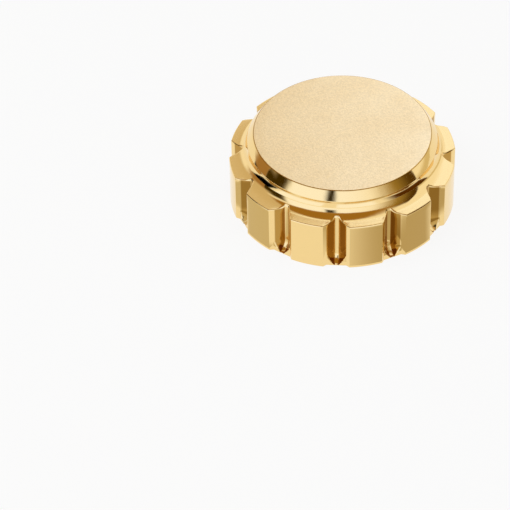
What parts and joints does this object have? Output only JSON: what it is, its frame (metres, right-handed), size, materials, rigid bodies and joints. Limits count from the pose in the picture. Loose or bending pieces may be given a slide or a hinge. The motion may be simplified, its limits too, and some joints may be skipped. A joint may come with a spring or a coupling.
{
  "type": "watch crown",
  "caption": "Low screw-down watch crown: lobed grip head with a matte top disc and polished bevel, threaded core, seals, and a sprung hexagonal stem post.",
  "frame": {"origin": "centre of the base, where the skirt's lower face stands", "axes": "+Z along the crown's axis from the open mouth to the matte disc; a grip lobe points along +X and -Y"},
  "size_m": [0.008, 0.008, 0.0028],
  "materials": {
    "head_gold": "gold-tone plating: polished bevel, cove and flanks, satin lobe tops, fine blasted top disc",
    "core_steel": "turned stainless steel",
    "post_steel": "fine turned stainless steel",
    "ring_brass": "turned brass",
    "spring_steel": "drawn spring wire",
    "gasket_rubber": "moulded nitrile rubber"
  },
  "bodies": {
    "crown": {"crown_head": "head_gold", "threaded_sleeve": "core_steel", "mouth_gasket": "gasket_rubber", "tube_gasket": "gasket_rubber", "gasket_washer": "core_steel", "guide_sleeve": "core_steel", "retaining_ring": "ring_brass", "spring_seat": "core_steel", "post_spring": "spring_steel"},
    "post": {"stem_post": "post_steel"}
  },
  "joints": [
    {"name": "post_slide", "type": "slide", "parent": "crown", "child": "post", "axis": [0, 0, 1], "range_m": [0, 0.0005], "stiffness_N_per_m": 300, "springref_m": -0.0003, "deforming": ["post_spring"]}
  ]
}
